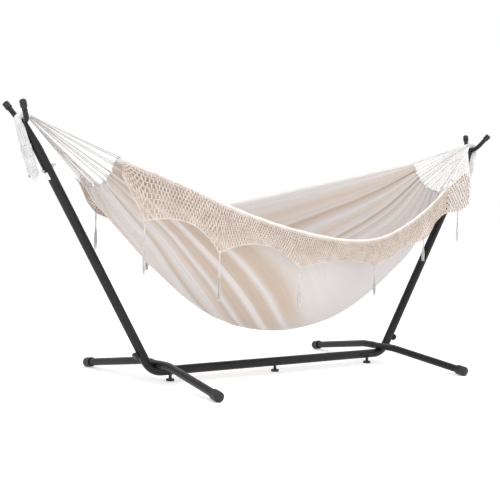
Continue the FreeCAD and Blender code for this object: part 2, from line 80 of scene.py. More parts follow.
# ---------------------------------------------------------------- mesh helpers
class Pieces:
    """Collects tubes and surfaces, and makes one mesh object of them."""

    def __init__(self):
        self.points, self.faces, self.count = [], [], 0

    def add(self, points, faces):
        self.points.append(np.asarray(points, float))
        self.faces += [tuple(i + self.count for i in f) for f in faces]
        self.count += len(points)

    def tube(self, line, radius, sides=6, flat=1.0, up=None):
        """A capped tube along a line. radius is one number or one for each point."""
        line = np.asarray(line, float)
        n = len(line)
        radius = np.broadcast_to(np.asarray(radius, float), (n,))
        along = np.gradient(line, axis=0)
        along /= np.maximum(np.linalg.norm(along, axis=1, keepdims=True), 1e-12)
        first = np.array(up if up is not None else (0.0, 1.0, 0.0), float)
        if abs(along[0] @ first) > 0.95:
            first = np.array((1.0, 0.0, 0.0))
        side = np.zeros_like(line)
        for i in range(n):
            first = first - (first @ along[i]) * along[i]
            first /= np.linalg.norm(first)
            side[i] = first
        other = np.cross(along, side)
        a = 2 * math.pi * np.arange(sides) / sides
        ring = (side[:, None] * np.cos(a)[None, :, None]
                + other[:, None] * np.sin(a)[None, :, None] * flat)
        points = line[:, None] + ring * radius[:, None, None]
        faces = [(i * sides + k, i * sides + (k + 1) % sides,
                  (i + 1) * sides + (k + 1) % sides, (i + 1) * sides + k)
                 for i in range(n - 1) for k in range(sides)]
        faces.append(tuple(range(sides))[::-1])
        faces.append(tuple((n - 1) * sides + k for k in range(sides)))
        self.add(points.reshape(-1, 3), faces)

    def twisted(self, line, radius, pitch, plies=2, sides=5):
        """Plied cord: tubes that wind about one line."""
        line = resampled(line, pitch / 7)
        step = np.concatenate([[0], np.cumsum(np.linalg.norm(np.diff(line, axis=0), axis=1))])
        side, other = frames(line)
        for k in range(plies):
            a = 2 * math.pi * (step / pitch + k / plies)
            off = side * np.cos(a)[:, None] + other * np.sin(a)[:, None]
            self.tube(line + off * radius, radius, sides)

    def build(self, name, body, slot, material, replaced=()):
        mesh = bpy.data.meshes.new(name)
        mesh.from_pydata(np.concatenate(self.points).tolist(), [], self.faces)
        mesh.validate()
        mesh.polygons.foreach_set("use_smooth", [True] * len(mesh.polygons))
        mesh.materials.append(material)
        obj = bpy.data.objects.new(name, mesh)
        bpy.context.scene.collection.objects.link(obj)
        return placed(obj, body, replaced)


def placed(obj, body, replaced=()):
    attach(obj, body)
    if replaced:
        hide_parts(*replaced)
    return obj


def resampled(line, step):
    line = np.asarray(line, float)
    at = np.concatenate([[0], np.cumsum(np.linalg.norm(np.diff(line, axis=0), axis=1))])
    want = np.linspace(0, at[-1], max(3, int(at[-1] / step) + 1))
    return np.stack([np.interp(want, at, line[:, k]) for k in range(3)], axis=1)


def frames(line):
    """Two unit vectors square to the line at each of its points."""
    along = np.gradient(line, axis=0)
    along /= np.linalg.norm(along, axis=1, keepdims=True)
    first = np.array((0.0, 1.0, 0.0)) if abs(along[0][1]) < 0.9 else np.array((1.0, 0.0, 0.0))
    side = np.zeros_like(line)
    for i in range(len(line)):
        first = first - (first @ along[i]) * along[i]
        first /= np.linalg.norm(first)
        side[i] = first
    return side, np.cross(along, side)


def ease(t):
    t = np.clip(t, 0.0, 1.0)
    return t * t * (3 - 2 * t)


# ---------------------------------------------------------------- materials
def new_material(name, colour, roughness):
    mat = bpy.data.materials.new(name)
    mat.use_nodes = True
    tree = mat.node_tree
    shader = tree.nodes["Principled BSDF"]
    shader.inputs["Base Color"].default_value = (*colour, 1)
    shader.inputs["Roughness"].default_value = roughness
    return mat, tree, shader


def node(tree, kind, inputs=(), **settings):
    made = tree.nodes.new(kind)
    for key, value in settings.items():
        setattr(made, key, value)
    for key, value in dict(inputs).items():
        if hasattr(value, "links"):
            tree.links.new(value, made.inputs[key])
        else:
            made.inputs[key].default_value = value
    return made


def maths(tree, operation, *values):
    return node(tree, "ShaderNodeMath", dict(enumerate(values)), operation=operation).outputs[0]


def mixed(tree, factor, first, second, blend="MIX"):
    return node(tree, "ShaderNodeMix", {"Factor": factor, 6: first, 7: second},
                data_type="RGBA", blend_type=blend).outputs[2]


def noise(tree, where, scale, detail=3.0):
    return node(tree, "ShaderNodeTexNoise",
                {"Vector": where, "Scale": scale, "Detail": detail}).outputs["Fac"]


def ramp(tree, value, stops):
    made = node(tree, "ShaderNodeValToRGB", {"Fac": value})
    line = made.color_ramp.elements
    while len(line) < len(stops):
        line.new(0.5)
    for element, (at, colour) in zip(line, stops):
        element.position = at
        element.color = (*colour, 1) if len(colour) == 3 else colour
    return made.outputs["Color"]


def grey(v):
    return (v, v, v)


def bump(tree, shader, height, strength, distance):
    made = node(tree, "ShaderNodeBump",
                {"Height": height, "Strength": strength, "Distance": distance})
    tree.links.new(made.outputs["Normal"], shader.inputs["Normal"])


def powder_coat():
    """Charcoal powder coat: fine orange peel, faint mottling and dust in the roughness."""
    mat, tree, shader = new_material("powder_coat", (0.022, 0.023, 0.026), 0.42)
    where = node(tree, "ShaderNodeTexCoord").outputs["Object"]
    peel = noise(tree, where, 900.0, 2.0)
    broad = noise(tree, where, 14.0, 4.0)
    tree.links.new(ramp(tree, broad, [(0.3, (0.006, 0.006, 0.007)), (0.7, (0.012, 0.012, 0.014))]),
                   shader.inputs["Base Color"])
    tree.links.new(ramp(tree, broad, [(0.3, grey(0.36)), (0.75, grey(0.50))]),
                   shader.inputs["Roughness"])
    shader.inputs["Specular IOR Level"].default_value = 0.27
    bump(tree, shader, peel, 0.25, 0.0006)
    return mat


def moulded(name, colour, roughness, grain):
    """Moulded plastic or rubber with a fine spark-eroded grain."""
    mat, tree, shader = new_material(name, colour, roughness)
    where = node(tree, "ShaderNodeTexCoord").outputs["Object"]
    fine = node(tree, "ShaderNodeTexVoronoi", {"Vector": where, "Scale": grain}).outputs["Distance"]
    broad = noise(tree, where, 30.0, 4.0)
    dark, light = tuple(c * 0.75 for c in colour), tuple(c * 1.35 for c in colour)
    tree.links.new(ramp(tree, broad, [(0.3, dark), (0.7, light)]), shader.inputs["Base Color"])
    tree.links.new(ramp(tree, broad, [(0.3, grey(roughness - 0.07)), (0.7, grey(roughness + 0.1))]),
                   shader.inputs["Roughness"])
    shader.inputs["Specular IOR Level"].default_value = 0.35
    bump(tree, shader, fine, 0.3, 0.0004)
    return mat


def zinc():
    mat, tree, shader = new_material("zinc", (0.56, 0.57, 0.58), 0.34)
    where = node(tree, "ShaderNodeTexCoord").outputs["Object"]
    cells = node(tree, "ShaderNodeTexVoronoi", {"Vector": where, "Scale": 260.0}).outputs["Color"]
    broad = noise(tree, where, 90.0, 4.0)
    tree.links.new(ramp(tree, broad, [(0.3, (0.42, 0.43, 0.45)), (0.7, (0.63, 0.64, 0.64))]),
                   shader.inputs["Base Color"])
    tree.links.new(ramp(tree, cells, [(0.2, grey(0.28)), (0.8, grey(0.46))]),
                   shader.inputs["Roughness"])
    shader.inputs["Metallic"].default_value = 1.0
    bump(tree, shader, broad, 0.12, 0.0003)
    return mat


def paper():
    mat, tree, shader = new_material("label", (0.66, 0.66, 0.65), 0.6)
    where = node(tree, "ShaderNodeTexCoord").outputs["Object"]
    fibres = noise(tree, where, 420.0, 5.0)
    tree.links.new(ramp(tree, fibres, [(0.3, (0.60, 0.60, 0.59)), (0.7, (0.72, 0.72, 0.71))]),
                   shader.inputs["Base Color"])
    bump(tree, shader, fibres, 0.1, 0.0003)
    return mat


def yarn(name, dark, light, scale):
    """Cotton yarn: colour that varies from stitch to stitch, with fibres in the bump."""
    mat, tree, shader = new_material(name, light, 0.86)
    where = node(tree, "ShaderNodeTexCoord").outputs["Object"]
    broad = noise(tree, where, 30.0, 4.0)
    fibres = noise(tree, where, scale, 4.0)
    half = maths(tree, "MULTIPLY", maths(tree, "ADD", broad, fibres), 0.5)
    tree.links.new(ramp(tree, half, [(0.36, dark), (0.62, light)]), shader.inputs["Base Color"])
    shader.inputs["Sheen Weight"].default_value = 0.25
    shader.inputs["Sheen Roughness"].default_value = 0.5
    bump(tree, shader, fibres, 0.5, 0.0008)
    return mat


CREAM = (0.575, 0.52, 0.485)
PALE = (0.60, 0.57, 0.565)
FADED = (0.50, 0.47, 0.465)
BEIGE = (0.54, 0.455, 0.395)
TAN = (0.46, 0.355, 0.275)
SAND = (0.465, 0.375, 0.31)
# woven bands: the colour at each share of the cloth's width, blended from one to the next
BANDS = (
    (0.00, PALE), (0.05, CREAM), (0.075, SAND), (0.105, SAND), (0.12, PALE),
    (0.14, SAND), (0.175, SAND), (0.18, CREAM), (0.195, PALE), (0.21, SAND),
    (0.245, SAND), (0.265, PALE), (0.285, SAND), (0.325, CREAM), (0.345, PALE),
    (0.37, CREAM), (0.40, SAND), (0.43, PALE), (0.50, CREAM), (0.56, CREAM),
    (0.60, PALE), (0.645, BEIGE), (0.68, PALE), (0.715, TAN), (0.73, PALE),
    (0.775, BEIGE), (0.82, PALE), (0.86, TAN), (0.875, CREAM), (0.92, BEIGE),
    (0.95, CREAM), (0.975, PALE),
)
# radians across the cloth's whole width, and to a metre along it
WARP_RADIANS, WEFT_RADIANS = 3200.0, 2400.0


def faded_part(tree, along, across):
    """1 on the near side's right half, where the bands have faded, and 0 elsewhere."""
    right = ramp(tree, maths(tree, "MULTIPLY", along, 0.5), [(0.50, grey(0.0)), (0.64, grey(1.0))])
    near = ramp(tree, across, [(0.34, grey(1.0)), (0.50, grey(0.0))])
    return maths(tree, "MULTIPLY", right, near)


def cloth_material():
    """Plain-weave cotton with soft lengthwise bands. UV is metres along and the share across."""
    mat, tree, shader = new_material("cotton_cloth", CREAM, 0.88)
    uv = node(tree, "ShaderNodeUVMap", uv_map="weave").outputs["UV"]
    parts = node(tree, "ShaderNodeSeparateXYZ", {"Vector": uv})
    along, across = parts.outputs["X"], parts.outputs["Y"]
    where = node(tree, "ShaderNodeTexCoord").outputs["Object"]
    wander = maths(tree, "ADD", noise(tree, where, 3.0, 2.0), -0.5)
    share = maths(tree, "ADD", across, maths(tree, "MULTIPLY", wander, 0.008))
    faded = faded_part(tree, along, across)
    bands = mixed(tree, faded, ramp(tree, share, BANDS), (*FADED, 1))

    warp = maths(tree, "SINE", maths(tree, "MULTIPLY", across, WARP_RADIANS))
    weft = maths(tree, "SINE", maths(tree, "MULTIPLY", along, WEFT_RADIANS))
    weave = maths(tree, "MULTIPLY", warp, weft)
    slubs = node(tree, "ShaderNodeMapping", {"Vector": uv, "Scale": (9.0, 420.0, 1.0)})
    slub = noise(tree, slubs.outputs["Vector"], 1.0, 4.0)
    lines = node(tree, "ShaderNodeMapping", {"Vector": uv, "Scale": (0.5, 75.0, 1.0)})
    line = noise(tree, lines.outputs["Vector"], 1.0, 2.0)
    pinstripe = maths(tree, "MULTIPLY", maths(tree, "ADD", slub, line), 0.5)
    shade = ramp(tree, pinstripe, [(0.38, grey(0.90)), (0.60, grey(1.0))])
    kept = maths(tree, "SUBTRACT", 1.0, faded)
    tree.links.new(mixed(tree, kept, bands, shade, "MULTIPLY"), shader.inputs["Base Color"])
    height = maths(tree, "ADD", weave, maths(tree, "MULTIPLY", slub, 0.3))
    bump(tree, shader, height, 0.3, 0.0004)
    shader.inputs["Sheen Weight"].default_value = 0.2
    shader.inputs["Sheen Roughness"].default_value = 0.5
    return mat


STEEL, ZINC, LABEL = powder_coat(), zinc(), paper()
PLASTIC = moulded("moulded_plastic", (0.016, 0.016, 0.017), 0.45, 900.0)
RUBBER = moulded("moulded_rubber", (0.020, 0.020, 0.021), 0.62, 700.0)
CLOTH = cloth_material()
HEM = yarn("hem_cotton", (0.66, 0.62, 0.59), (0.76, 0.73, 0.70), 500.0)
CROCHET = yarn("crochet_cotton", (0.50, 0.41, 0.35), (0.67, 0.58, 0.52), 650.0)
# paler copy of the crochet cotton: painted light for the fringe's loose end
CROCHET_LIT = yarn("crochet_painted_light", (0.62, 0.55, 0.51), (0.78, 0.72, 0.69), 650.0)
# paler copy of the string cotton: painted light for the right fan; the darker string cotton below serves as
# painted shade on the left fan
STRING_LIT = yarn("string_painted_light", (0.66, 0.655, 0.645), (0.86, 0.85, 0.84), 700.0)
STRING = yarn("string_cotton", (0.43, 0.405, 0.395), (0.66, 0.635, 0.625), 700.0)
ROPE = yarn("rope_cotton", (0.54, 0.54, 0.54), (0.73, 0.73, 0.73), 700.0)
TIP = yarn("cord_tip", (0.08, 0.08, 0.085), (0.14, 0.14, 0.145), 700.0)

BY_SLOT = {"black_steel": STEEL, "black_plastic": PLASTIC, "black_rubber": RUBBER,
           "zinc_steel": ZINC, "label_paper": LABEL, "cotton_cloth": CLOTH,
           "crochet_cotton": CROCHET, "cotton_string": STRING}
for part in frame["record"]["subparts"]:
    data = NODES[part["node"]].data
    data.materials.clear()
    data.materials.append(BY_SLOT[part["material_slot"]])

# ---------------------------------------------------------------- rope ends
# on the right; the left end mirrors them
ROPE_END_ROUTE = ((1.2046, 0, 1.0414), (1.2345, 0, 1.0414), (1.2250, 0, 1.0131), (1.1590, 0, 0.8169))
CORD_END_ROUTE = ((1.1560, 0, 0.8179), (1.1502, 0, 0.8010), (1.1482, 0, 0.7965),
                  (1.1560, 0, 0.8010), (1.1832, 0, 0.8195))
STRANDS, STRAND_R = 26, 0.0021
WHIPPING_FROM, WHIPPING_PITCH, WHIPPING_R = 0.134, 0.0038, 0.0020
# the rounded knot below the whipping, as (way down from the rope's end, radius)
BULB = ((-0.004, 0.0152), (0.0, 0.0142), (0.0035, 0.0120), (0.0062, 0.0084), (0.0078, 0.0030))
CORD_R, TIP_R = 0.0016, 0.0019


def nurbs(name, route, side, radius=0.0):
    curve = bpy.data.curves.new(name, "CURVE")
    curve.dimensions = "3D"
    spline = curve.splines.new("NURBS")
    spline.points.add(len(route) - 1)
    for point, (x, y, z) in zip(spline.points, route):
        point.co = (side * x, y, z, 1)
    spline.order_u = 3
    spline.use_endpoint_u = True
    spline.resolution_u = 16
    curve.bevel_depth, curve.bevel_resolution = radius, 3
    curve.use_fill_caps = True
    return bpy.data.objects.new(name, curve)


def line_of(route, side):
    bare = nurbs("route", route, side)
    mesh = bpy.data.meshes.new_from_object(bare)
    line = np.array([v.co for v in mesh.vertices], float)
    data = bare.data
    bpy.data.objects.remove(bare)
    bpy.data.curves.remove(data)
    bpy.data.meshes.remove(mesh)
    return line


def length_of(line):
    return float(np.linalg.norm(np.diff(line, axis=0), axis=1).sum())


def strand_bundle(name, line, step, swell):
    """Loose strands about a core."""
    across, other = frames(line)
    made = Pieces()
    made.tube(line, swell - 0.0032, 14)
    for k in range(STRANDS):
        lean = 0.5 * math.sin(2.4 * k)
        a = 2 * math.pi * k / STRANDS + lean * step * 1.2 + 0.05 * np.sin(60 * step + k)
        out = swell - 0.0020 + 0.0005 * np.sin(90 * step + 1.7 * k)
        off = across * np.cos(a)[:, None] + other * np.sin(a)[:, None]
        made.tube(line + off * out[:, None], STRAND_R, 6)
    return made.build("rope_end_strands_" + name, "root", "cotton_string", ROPE,
                      ["rope_end_" + name])


def whipping_thread(name, line, step, swell):
    """Thread wound tightly about the rope's lower half, and the knot below it."""
    across, other = frames(line)
    end = step[-1] - 0.002
    turns = int((end - WHIPPING_FROM) / WHIPPING_PITCH)
    at = np.linspace(WHIPPING_FROM, end, turns * 28)
    mid, u, w = (np.stack([np.interp(at, step, way[:, k]) for k in range(3)], axis=1)
                 for way in (line, across, other))
    r = np.interp(at, step, swell) + 0.0012 - 0.006 * ease((at - (end - 0.014)) / 0.014) ** 2
    a = 2 * math.pi * turns * np.linspace(0, 1, len(at))
    wave = 0.0003 * np.sin(a * 0.31 + 0.6)
    made = Pieces()
    made.tube(mid + (u * np.cos(a)[:, None] + w * np.sin(a)[:, None]) * (r + wave)[:, None],
              WHIPPING_R, 6)
    down = line[-1] - line[-4]
    down /= np.linalg.norm(down)
    made.tube([line[-1] + down * h for h, _ in BULB], [r for _, r in BULB], 20)
    return made.build("rope_whipping_thread_" + name, "root", "cotton_string", ROPE,
                      ["rope_whipping_" + name])


def cord_tip(name, line):
    """The sealed end of the loose cord."""
    last = line[-1] - line[-3]
    last /= np.linalg.norm(last)
    made = Pieces()
    made.tube([line[-1] - last * 0.007, line[-1], line[-1] + last * 0.0015],
              [TIP_R, TIP_R, 0.0011], 10)
    return made.build("whipping_cord_tip_" + name, "root", "cotton_string", TIP)


def rope_end(name, side):
    """A bundle of strands that comes over the fork's bar and ends in a whipping."""
    line = resampled(line_of(ROPE_END_ROUTE, side), 0.003)
    step = np.linspace(0, length_of(line), len(line))
    swell = (0.0120 + 0.0053 * ease((step - 0.022) / 0.055)
             + 0.0016 * np.exp(-((step - 0.125) / 0.04) ** 2))
    rope = strand_bundle(name, line, step, swell)
    whipping = whipping_thread(name, line, step, swell)
    cord = nurbs("whipping_cord_end_" + name, CORD_END_ROUTE, side, CORD_R)
    cord.data.materials.append(ROPE)
    bpy.context.scene.collection.objects.link(cord)
    placed(cord, "root", ["whipping_end_" + name])
    cord_line = line_of(CORD_END_ROUTE, side)
    sealed = cord_tip(name, cord_line)


for name, side in SIDES:
    rope_end(name, side)


# ---------------------------------------------------------------- reading the CAD cloth
def triangles(name):
    data = NODES[name].data
    data.calc_loop_triangles()
    points = np.array([v.co for v in data.vertices], float).reshape(-1, 3)
    return points[np.array([t.vertices for t in data.loop_triangles], int)]


def cut_at(tris, x):
    """Where the plane at x cuts the triangles, as segments (y, z), (y, z)."""
    d = tris[:, :, 0] - x
    found = tris[(d.min(axis=1) < 0) & (d.max(axis=1) >= 0)]
    d = found[:, :, 0] - x
    ends = []
    for a, b in ((0, 1), (1, 2), (2, 0)):
        crosses = (d[:, a] < 0) != (d[:, b] < 0)
        t = np.where(crosses, d[:, a] / np.where(d[:, a] == d[:, b], 1, d[:, a] - d[:, b]), 0)
        point = found[:, a] + (found[:, b] - found[:, a]) * t[:, None]
        ends.append(np.where(crosses[:, None], point[:, 1:], np.nan))
    ends = np.stack(ends, axis=1)
    order = np.argsort(np.isnan(ends[:, :, 0]), axis=1, kind="stable")[:, :2]
    return np.take_along_axis(ends, order[:, :, None], axis=1)


EDGE_INSET, OUT_OF_REACH = 0.0006, 9


def middle_of(segments, count):
    """The line midway between the upper and the lower skin of a cut."""
    ys = segments[:, :, 0]
    low, high = ys.min(), ys.max()
    want = np.linspace(low + EDGE_INSET, high - EDGE_INSET, count)
    a, b = segments[:, 0], segments[:, 1]
    span = b[:, 0] - a[:, 0]
    t = (want[:, None] - a[None, :, 0]) / np.where(np.abs(span) < 1e-9, 1e-9, span)[None]
    inside = (t >= 0) & (t <= 1)
    z = a[None, :, 1] + (b[:, 1] - a[:, 1])[None] * t
    top = np.where(inside, z, -OUT_OF_REACH).max(axis=1)
    bottom = np.where(inside, z, OUT_OF_REACH).min(axis=1)
    return np.stack([want, (top + bottom) / 2], axis=1)


# points of the sheet's grid
ALONG, ACROSS = 380, 220


def read_bed():
    tris = triangles("bed_cloth")
    low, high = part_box("bed_cloth")
    rows = []
    for x in np.linspace(low.x + 0.0015, high.x - 0.0015, ALONG):
        line = middle_of(cut_at(tris, x), 150)
        at = np.concatenate([[0], np.cumsum(np.linalg.norm(np.diff(line, axis=0), axis=1))])
        want = np.linspace(0, at[-1], ACROSS)
        rows.append(np.stack([np.full(ACROSS, x), np.interp(want, at, line[:, 0]),
                              np.interp(want, at, line[:, 1])], axis=1))
    return np.stack(rows)


def calmed(grid, reach=14):
    """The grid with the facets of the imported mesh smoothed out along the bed."""
    weights = np.hanning(2 * reach + 3)[1:-1]
    weights /= weights.sum()
    made = grid.copy()
    margin = ((reach, reach), (0, 0))
    for axis in (1, 2):
        padded = np.pad(grid[:, :, axis], margin, mode="reflect", reflect_type="odd")
        for j in range(grid.shape[1]):
            made[:, j, axis] = np.convolve(padded[:, j], weights, mode="valid")
    return made


BED = calmed(read_bed())


# ---------------------------------------------------------------- cloth with its folds
def surface_normals(grid):
    along = np.gradient(grid, axis=0)
    across = np.gradient(grid, axis=1)
    n = np.cross(along, across)
    return n / np.maximum(np.linalg.norm(n, axis=2, keepdims=True), 1e-9)


def pleat(phase):
    """Rounded ridges with sharper valleys between them, from -1 to 1."""
    return 2 * np.sqrt(np.abs(np.sin(math.pi * phase))) - 1


def weave_share(grid):
    """The share of the cloth's width at each point. On the near side the woven lines slant down
    under the belly to the right, and on the far side they run along the bed."""
    share = np.broadcast_to(np.linspace(0, 1, ACROSS)[None, :], grid.shape[:2])
    x = grid[:, :, 0] / grid[:, :, 0].max()
    ends = ease((x + 1.0) / 0.35) * ease((1.0 - x) / 0.35)
    slant = -0.34 * np.exp(-((x - 0.25) / 0.62) ** 2) * ends
    hump = 4 * share * (1 - share)
    return share + slant * hump * (1.0 - ease((share - 0.42) / 0.34))


def folded(grid):
    """Gathers the cloth: deep pleats at both ends that run out into long, low folds."""
    share = weave_share(grid)
    flat = np.linspace(0, 1, ACROSS)[None, :]
    x = grid[:, :, 0]
    from_left, from_right = x - x.min(), x.max() - x
    # for each end: distance from it, pleats, small pleats, phase, size, way into the cloth
    gathers = ((from_left, 6.0, 15.0, 0.0, 1.0, 1), (from_right, 6.0, 13.0, 2.1, 0.7, -1))
    wander = 0.14 * np.sin(3.1 * x + 5 * share) + 0.08 * np.sin(7.7 * x - 9 * share)
    height = np.zeros_like(x)
    for away, pleats, small_pleats, phase, size, _ in gathers:
        deep = size * (0.0135 * np.exp(-away / 0.090) + 0.0042 * np.exp(-away / 0.30))
        small = size * (0.0045 * np.exp(-away / 0.070) + 0.0024 * np.exp(-away / 0.45))
        tight = size * 0.0013 * np.exp(-away / 0.42)
        height += deep * pleat(pleats * share + 0.12 * wander + phase)
        height += small * pleat(small_pleats * share + 0.25 * wander + 0.4 * phase)
        height += tight * pleat(2.6 * small_pleats * share + 0.4 * wander)
    height += 0.0022 * np.sin(9 * flat + 4.0 * x + 1.0) * np.sin(5.0 * x + 0.5)
    height *= ease(flat / 0.05) * ease((1 - flat) / 0.05)
    made = grid + surface_normals(grid) * height[:, :, None]
    # the ends are cut in steps, one to a pleat
    for away, pleats, _, phase, _, way in gathers:
        pull = 0.020 * ((1 - pleat(pleats * share + phase)) / 2) ** 2 * np.exp(-away / 0.05)
        made[:, :, 0] += way * pull
    return made


CLOTH_THICK = 0.0016


def cloth_mesh(grid):
    flat_way = np.concatenate([[0], np.cumsum(np.linalg.norm(
        np.diff(grid[:, ACROSS // 2], axis=0), axis=1))])
    mesh = bpy.data.meshes.new("bed_cloth_sheet")
    faces = [(i * ACROSS + j, (i + 1) * ACROSS + j, (i + 1) * ACROSS + j + 1, i * ACROSS + j + 1)
             for i in range(ALONG - 1) for j in range(ACROSS - 1)]
    mesh.from_pydata(grid.reshape(-1, 3).tolist(), [], faces)
    mesh.polygons.foreach_set("use_smooth", [True] * len(faces))
    uv = np.zeros((ALONG * ACROSS, 2))
    uv[:, 0] = np.repeat(flat_way, ACROSS)
    uv[:, 1] = weave_share(BED).ravel()
    layer = mesh.uv_layers.new(name="weave")
    loops = np.zeros(len(mesh.loops), np.int32)
    mesh.loops.foreach_get("vertex_index", loops)
    layer.data.foreach_set("uv", uv[loops].ravel())
    mesh.materials.append(CLOTH)
    obj = bpy.data.objects.new("bed_cloth_sheet", mesh)
    bpy.context.scene.collection.objects.link(obj)
    solid = obj.modifiers.new("thickness", "SOLIDIFY")
    solid.thickness, solid.offset = CLOTH_THICK, 0.0
    return placed(obj, "hammock", ["bed_cloth"])


SHEET = folded(BED)
cloth = cloth_mesh(SHEET)


# ---------------------------------------------------------------- rolled hems
def hem(name, column, way):
    """A flattened roll of cloth along one long edge, with its seam."""
    line = SHEET[::3, column].copy()
    line[:, 2] -= 0.004
    line[:, 1] += way * 0.001
    n = len(line)
    made = Pieces()
    wobble = 0.0006 * np.sin(np.arange(n) * 0.9) + 0.0004 * np.sin(np.arange(n) * 0.37)
    made.tube(line, 0.0105 + wobble, 12, flat=0.36, up=(0, 0, 1))
    seam = line.copy()
    seam[:, 1] += way * 0.0046
    seam[:, 2] -= 0.0065
    made.twisted(seam, 0.0006, 0.006)
    return made.build(f"bed_hem_{name}", "hammock", "cotton_cloth", HEM)


hems = [hem("near", 0, -1), hem("far", ACROSS - 1, 1)]


# ---------------------------------------------------------------- crocheted fringe
def lace_frame(name, xs):
    """For each x, the fringe's y, its top and its bottom."""
    tris = triangles(name)
    found = []
    for x in xs:
        cut = cut_at(tris, x).reshape(-1, 2)
        found.append((cut[:, 0].mean(), cut[:, 1].max(), cut[:, 1].min()))
    return np.array(found)


LACE_ROWS = 9
STITCH = 0.0112
THREAD_R, RIM_R, POST_R = 0.0018, 0.0030, 0.0033
# past this share of its length the near fringe hangs loose, in two gathered layers
LOOSE_FROM, LAYER_GAP = 0.885, 0.007
LEAST_DEPTH = 0.03


def fringe(name, way):
    """Crochet: rows of thread and the upright stitches between them."""
    low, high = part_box("lace_" + name)
    xs = np.arange(low.x + (0.022 if way < 0 else 0.002), high.x - 0.002, STITCH / 2)
    found = lace_frame("lace_" + name, xs)
    y, top, bottom = found[:, 0], found[:, 1] - 0.006, found[:, 2]
    depth = np.maximum(top - bottom, 0.002)
    sway = 0.0040 * np.sin(21 * xs) + 0.0022 * np.sin(53 * xs + 1.0)
    made, loose = Pieces(), Pieces()
    layers = [(made, 0, len(xs), 0.0)]
    if way < 0:
        corner = int(np.searchsorted(xs, LOOSE_FROM * high.x))
        layers = [(made, 0, corner + 1, 0.0), (loose, corner, len(xs), 0.0),
                  (loose, corner, len(xs), LAYER_GAP)]

    def at(i, t, out):
        fold = way * 0.007 * t * math.sin(17 * xs[i] + 2.6 * t) + way * sway[i] * t
        return (xs[i], y[i] + fold + out, top[i] - t * depth[i])

    def row_of_thread(pieces, row, first, last, out):
        line = np.array([at(i, row / LACE_ROWS, out) for i in range(first, last)])
        line[:, 2] += 0.0006 * np.sin(np.arange(first, last) * math.pi / 2 + row)
        pieces.tube(line, RIM_R if row in (0, LACE_ROWS) else THREAD_R, 6, flat=0.8, up=(0, 0, 1))

    def row_of_stitches(pieces, row, first, last, out):
        a, b = row / LACE_ROWS, (row + 1) / LACE_ROWS
        for i in range(first + row % 2, last - 1, 2 if out == 0.0 else 1):
            if depth[i] < LEAST_DEPTH:
                continue
            j = min(i + RNG.choice((0, 0, 0, 0, 0, 1)), last - 1)
            line = np.array([at(i, a, out), at(i, (a + b) / 2, out), at(j, b, out)])
            line[1, 1] += way * 0.0016
            pieces.tube(line, [THREAD_R, POST_R + 0.0005 * RNG.random(), THREAD_R], 6)

    for layer in layers:
        for row in range(LACE_ROWS + 1):
            row_of_thread(layer[0], row, *layer[1:])
        for row in range(LACE_ROWS):
            row_of_stitches(layer[0], row, *layer[1:])
    built = [made.build("fringe_" + name, "hammock", "crochet_cotton", CROCHET, ["lace_" + name])]
    if loose.count:
        # the loose end is built in the paler crochet copy, as painted light
        built.append(loose.build(f"fringe_{name}_end", "hammock", "crochet_cotton", CROCHET_LIT))
    return built


laces = [*fringe("near", -1), *fringe("far", 1)]


# ---------------------------------------------------------------- tassels
def loose_boxes(name):
    """(lowest, highest corner) of each separate solid of a node."""
    data = NODES[name].data
    parent = list(range(len(data.vertices)))

    def root(i):
        while parent[i] != i:
            parent[i] = parent[parent[i]]
            i = parent[i]
        return i

    keys = {}
    for v in data.vertices:
        key = tuple(round(c, 5) for c in v.co)
        parent[root(v.index)] = root(keys.setdefault(key, v.index))
    for e in data.edges:
        parent[root(e.vertices[0])] = root(e.vertices[1])
    groups = {}
    for v in data.vertices:
        groups.setdefault(root(v.index), []).append(tuple(v.co))
    found = [(np.min(g, axis=0), np.max(g, axis=0)) for g in groups.values()]
    return sorted(found, key=lambda pair: pair[0][0])


TASSEL_STRANDS, TASSEL_HAIRS = 6, 4
# the knot at a tassel's top, as (height above it, radius)
TASSEL_KNOT = ((0.003, 0.0024), (-0.001, 0.0042), (-0.006, 0.0044), (-0.011, 0.0022))


def brush_end(made, tip):
    """Loose fibres at a strand's end."""
    s = np.linspace(0, 1, 6)
    for _ in range(TASSEL_HAIRS):
        way = RNG.uniform(0, 2 * math.pi)
        hair = tip + np.stack([0.0045 * s ** 1.5 * math.cos(way),
                               0.0045 * s ** 1.5 * math.sin(way), -0.012 * s + 0.004], axis=1)
        made.tube(hair, 0.0005, 4)


def tassels(name):
    made = Pieces()
    t = np.linspace(0, 1, 26)
    for lo, hi in loose_boxes("tassels_" + name):
        x, y, _ = (lo + hi) / 2
        top, length = hi[2], hi[2] - lo[2]
        for k in range(TASSEL_STRANDS):
            turn = 2 * math.pi * k / TASSEL_STRANDS + 0.5 * RNG.random()
            spread = 0.0012 + 0.0052 * ease((t - 0.4) / 0.4)
            bend = 0.0016 * np.sin(5.0 * t + turn) * t
            reach = length * (1 - 0.12 * RNG.random())
            line = np.stack([x + spread * math.cos(turn) + bend,
                             y + spread * math.sin(turn) * 0.7, top - t * reach], axis=1)
            made.twisted(line, 0.0010, 0.008)
            brush_end(made, line[-1])
        made.tube([(x, y, top + h) for h, _ in TASSEL_KNOT], [r for _, r in TASSEL_KNOT], 8)
    return made.build("tassel_strands_" + name, "hammock", "crochet_cotton", STRING,
                      ["tassels_" + name])


hung = [tassels("near"), tassels("far")]


# ---------------------------------------------------------------- strings and gathered rope
PAIRS = {"left": 11, "right": 15}
STRING_R = {"left": 0.0010, "right": 0.0014}
TWIST = 0.010
FLAP_STRINGS, FLAP_STRING_R = 26, 0.0012
RING_R = 0.0080
GATHERED, GATHERED_R = 20, 0.0089


def in_fork(x, a):
    """The point at angle a where a string joins the gathered rope's face."""
    return np.array((x, RING_R * math.cos(a), SWING.z + RING_R * math.sin(a)))


